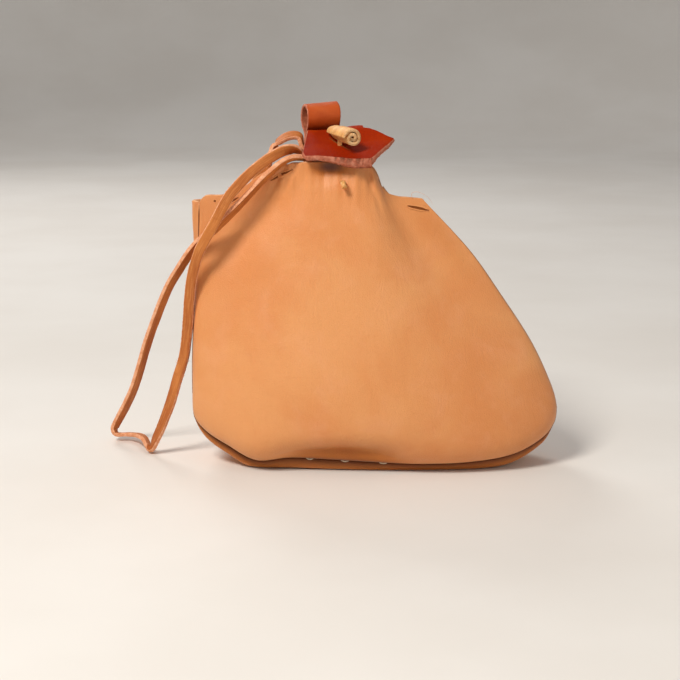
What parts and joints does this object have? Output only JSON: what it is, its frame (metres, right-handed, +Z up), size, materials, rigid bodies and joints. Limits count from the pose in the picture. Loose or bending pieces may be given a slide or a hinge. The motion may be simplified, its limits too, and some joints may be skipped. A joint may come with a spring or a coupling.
{
  "type": "drawstring dice bag",
  "caption": "Leather pouch with a gathered mouth, flat lace drawstring, buttoned flap, rolled toggle and belt loop.",
  "frame": {"origin": "under the middle of the bag, on the surface that it stands on", "axes": "+Z up, -Y the front with the flap and toggle, +X to the right seen from the front"},
  "size_m": [0.2133, 0.0678, 0.1648],
  "materials": {
    "tan_leather": "smooth vegetable-tanned leather with a soft sheen",
    "red_leather": "dark red-brown dyed leather, glossy on top, with raw cut edges",
    "pale_leather": "undyed pale leather",
    "suede_lace": "matt suede lace with rough cut edges",
    "thread": "waxed thread"
  },
  "bodies": {
    "root": {"front_panel": "tan_leather", "back_panel": "tan_leather", "seam_stitches": "thread", "flap_tail": "red_leather", "belt_loop_tails": "red_leather", "flap_stitches": "thread", "toggle_thong": "pale_leather", "thong_knot": "pale_leather", "drawstring_mouth_run": "suede_lace"},
    "flap": {"flap": "red_leather"},
    "toggle": {"toggle": "pale_leather"},
    "belt_loop": {"belt_loop": "red_leather"},
    "mouth_back": {"back_ear_left": "tan_leather", "back_ear_right": "tan_leather"},
    "drawstring": {"drawstring": "suede_lace"}
  },
  "joints": [
    {"name": "flap_lift", "type": "hinge", "parent": "root", "child": "flap", "pos_m": [-0.0165, 0.008, 0.15135], "axis": [-1, 0, 0], "range_deg": [0, 105]},
    {"name": "toggle_turn", "type": "hinge", "parent": "root", "child": "toggle", "pos_m": [-0.0154, -0.00607, 0.15179], "axis": [0, -0.342, 0.9397], "range_deg": [-90, 90]},
    {"name": "belt_loop_tilt", "type": "hinge", "parent": "root", "child": "belt_loop", "pos_m": [-0.0243, 0.0158, 0.151], "axis": [-1, 0, 0], "range_deg": [0, 50]},
    {"name": "mouth_open", "type": "hinge", "parent": "root", "child": "mouth_back", "pos_m": [0, 0.015, 0.099], "axis": [-1, 0, 0], "range_deg": [0, 25]},
    {"name": "drawstring_pull", "type": "slide", "parent": "root", "child": "drawstring", "axis": [-1, 0, 0], "range_m": [0, 0.008]}
  ]
}
